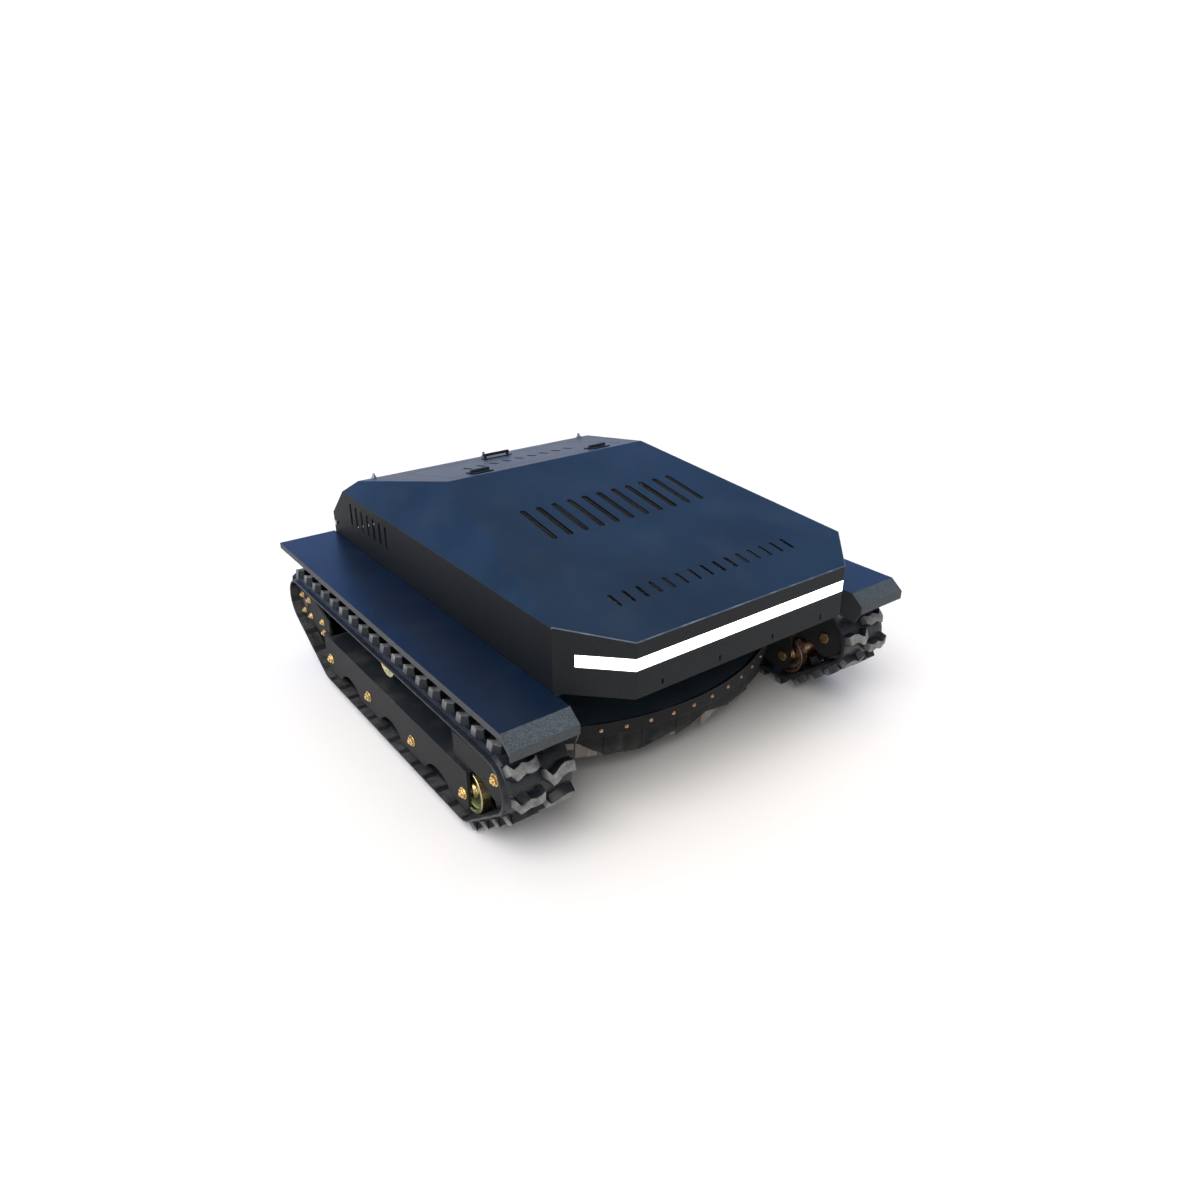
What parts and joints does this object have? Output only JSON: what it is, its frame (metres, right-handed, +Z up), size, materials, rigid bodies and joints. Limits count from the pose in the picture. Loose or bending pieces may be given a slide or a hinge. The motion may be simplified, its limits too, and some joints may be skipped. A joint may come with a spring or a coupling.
{
  "type": "tracked tank chassis",
  "caption": "Tracked utility chassis with a folded steel hood, flat fenders, rubber tracks on sprung-tension running gear and a liftable round-fronted cutter deck.",
  "frame": {"origin": "on the ground, in the middle of the overall box, under the hood", "axes": "+X to the machine's own left, -Y forwards (the lit nose faces -Y), +Z up"},
  "size_m": [1.15, 1.254, 0.598],
  "materials": {
    "hood_paint": "satin powder coat, very dark navy",
    "black_paint": "satin black powder coat",
    "light_diffuser": "white lit diffuser",
    "vent_mesh": "black perforated sheet",
    "zinc_steel": "yellow zinc plating",
    "black_plastic": "matt",
    "battery_case": "matt",
    "grey_aluminium": "cast, satin",
    "yellow_plastic": "matt",
    "red_plastic": "gloss",
    "track_rubber": "matt, dusty, worn on the lug tips",
    "skirt_rubber": "matt",
    "brass_bolt": "yellow passivated",
    "bright_steel": "ground"
  },
  "bodies": {
    "root": {"chassis_frame": "black_paint", "floor_pan": "black_paint", "hood_shell": "hood_paint", "light_strip": "light_diffuser", "light_housing": "black_paint", "vent_screens": "vent_mesh", "hood_screws": "zinc_steel", "left_fender": "hood_paint", "right_fender": "hood_paint", "rear_panel": "black_paint", "tow_hitch": "black_paint", "charge_port": "black_plastic", "battery_packs": "battery_case", "controller_box": "grey_aluminium", "lift_actuator": "zinc_steel", "estop_base": "yellow_plastic", "lid_hinge_base": "black_paint", "lid_seal": "track_rubber", "left_track_belt": "track_rubber", "left_belt_lugs": "track_rubber", "left_side_frame": "black_paint", "left_drive_bracket": "black_paint", "left_track_bolts": "brass_bolt", "left_idler_arms": "black_paint", "left_tensioner": "bright_steel", "left_gearmotor": "grey_aluminium", "right_track_belt": "track_rubber", "right_belt_lugs": "track_rubber", "right_side_frame": "black_paint", "right_drive_bracket": "black_paint", "right_track_bolts": "brass_bolt", "right_idler_arms": "black_paint", "right_tensioner": "bright_steel", "right_gearmotor": "grey_aluminium"},
    "lid": {"access_lid": "hood_paint", "lid_hinge_leaf": "black_paint", "lid_handle": "black_paint"},
    "estop_button": {"estop_button": "red_plastic"},
    "deck": {"deck_shell": "black_paint", "deck_clamp_strip": "black_paint", "deck_skirt": "skirt_rubber", "deck_bolts": "brass_bolt", "deck_lift_rods": "bright_steel", "blade_motor": "grey_aluminium"},
    "blade": {"blade_spindle": "bright_steel", "cutter_blade": "bright_steel"},
    "left_drive_sprocket": {"left_drive_sprocket": "zinc_steel"},
    "left_front_idler": {"left_front_idler": "zinc_steel"},
    "left_road_wheel_1": {"left_road_wheel_1": "zinc_steel"},
    "left_road_wheel_2": {"left_road_wheel_2": "zinc_steel"},
    "left_road_wheel_3": {"left_road_wheel_3": "zinc_steel"},
    "left_road_wheel_4": {"left_road_wheel_4": "zinc_steel"},
    "left_carrier_roller": {"left_carrier_roller": "zinc_steel"},
    "right_drive_sprocket": {"right_drive_sprocket": "zinc_steel"},
    "right_front_idler": {"right_front_idler": "zinc_steel"},
    "right_road_wheel_1": {"right_road_wheel_1": "zinc_steel"},
    "right_road_wheel_2": {"right_road_wheel_2": "zinc_steel"},
    "right_road_wheel_3": {"right_road_wheel_3": "zinc_steel"},
    "right_road_wheel_4": {"right_road_wheel_4": "zinc_steel"},
    "right_carrier_roller": {"right_carrier_roller": "zinc_steel"}
  },
  "joints": [
    {"name": "lid_hinge", "type": "hinge", "parent": "root", "child": "lid", "pos_m": [0, 0.1463, 0.59247], "axis": [1, 0, 0], "range_deg": [0, 115]},
    {"name": "estop_press", "type": "slide", "parent": "root", "child": "estop_button", "axis": [0, -0.6827, -0.7307], "range_m": [0, 0.004], "stiffness_N_per_m": 1500},
    {"name": "deck_lift", "type": "slide", "parent": "root", "child": "deck", "axis": [0, 0, 1], "range_m": [-0.015, 0.03]},
    {"name": "blade_spin", "type": "hinge", "parent": "deck", "child": "blade", "pos_m": [0, -0.07, 0.112], "axis": [0, 0, 1], "continuous": true},
    {"name": "left_drive", "type": "hinge", "parent": "root", "child": "left_drive_sprocket", "pos_m": [0.491, 0.51, 0.192], "axis": [1, 0, 0], "continuous": true},
    {"name": "left_front_idler_spin", "type": "hinge", "parent": "root", "child": "left_front_idler", "pos_m": [0.491, -0.5, 0.192], "axis": [1, 0, 0], "continuous": true},
    {"name": "left_road_wheel_1_spin", "type": "hinge", "parent": "root", "child": "left_road_wheel_1", "pos_m": [0.491, -0.375, 0.087], "axis": [1, 0, 0], "continuous": true},
    {"name": "left_road_wheel_2_spin", "type": "hinge", "parent": "root", "child": "left_road_wheel_2", "pos_m": [0.491, -0.135, 0.087], "axis": [1, 0, 0], "continuous": true},
    {"name": "left_road_wheel_3_spin", "type": "hinge", "parent": "root", "child": "left_road_wheel_3", "pos_m": [0.491, 0.105, 0.087], "axis": [1, 0, 0], "continuous": true},
    {"name": "left_road_wheel_4_spin", "type": "hinge", "parent": "root", "child": "left_road_wheel_4", "pos_m": [0.491, 0.345, 0.087], "axis": [1, 0, 0], "continuous": true},
    {"name": "left_carrier_roller_spin", "type": "hinge", "parent": "root", "child": "left_carrier_roller", "pos_m": [0.491, 0.02, 0.215], "axis": [1, 0, 0], "continuous": true},
    {"name": "right_drive", "type": "hinge", "parent": "root", "child": "right_drive_sprocket", "pos_m": [-0.491, 0.51, 0.192], "axis": [1, 0, 0], "continuous": true},
    {"name": "right_front_idler_spin", "type": "hinge", "parent": "root", "child": "right_front_idler", "pos_m": [-0.491, -0.5, 0.192], "axis": [1, 0, 0], "continuous": true},
    {"name": "right_road_wheel_1_spin", "type": "hinge", "parent": "root", "child": "right_road_wheel_1", "pos_m": [-0.491, -0.375, 0.087], "axis": [1, 0, 0], "continuous": true},
    {"name": "right_road_wheel_2_spin", "type": "hinge", "parent": "root", "child": "right_road_wheel_2", "pos_m": [-0.491, -0.135, 0.087], "axis": [1, 0, 0], "continuous": true},
    {"name": "right_road_wheel_3_spin", "type": "hinge", "parent": "root", "child": "right_road_wheel_3", "pos_m": [-0.491, 0.105, 0.087], "axis": [1, 0, 0], "continuous": true},
    {"name": "right_road_wheel_4_spin", "type": "hinge", "parent": "root", "child": "right_road_wheel_4", "pos_m": [-0.491, 0.345, 0.087], "axis": [1, 0, 0], "continuous": true},
    {"name": "right_carrier_roller_spin", "type": "hinge", "parent": "root", "child": "right_carrier_roller", "pos_m": [-0.491, 0.02, 0.215], "axis": [1, 0, 0], "continuous": true}
  ],
  "couplings": [
    {"joint": "left_front_idler_spin", "follows": "left_drive", "ratio": 1},
    {"joint": "left_road_wheel_1_spin", "follows": "left_drive", "ratio": 1.1091},
    {"joint": "left_road_wheel_2_spin", "follows": "left_drive", "ratio": 1.1091},
    {"joint": "left_road_wheel_3_spin", "follows": "left_drive", "ratio": 1.1091},
    {"joint": "left_road_wheel_4_spin", "follows": "left_drive", "ratio": 1.1091},
    {"joint": "left_carrier_roller_spin", "follows": "left_drive", "ratio": 1.6053},
    {"joint": "right_front_idler_spin", "follows": "right_drive", "ratio": 1},
    {"joint": "right_road_wheel_1_spin", "follows": "right_drive", "ratio": 1.1091},
    {"joint": "right_road_wheel_2_spin", "follows": "right_drive", "ratio": 1.1091},
    {"joint": "right_road_wheel_3_spin", "follows": "right_drive", "ratio": 1.1091},
    {"joint": "right_road_wheel_4_spin", "follows": "right_drive", "ratio": 1.1091},
    {"joint": "right_carrier_roller_spin", "follows": "right_drive", "ratio": 1.6053}
  ]
}
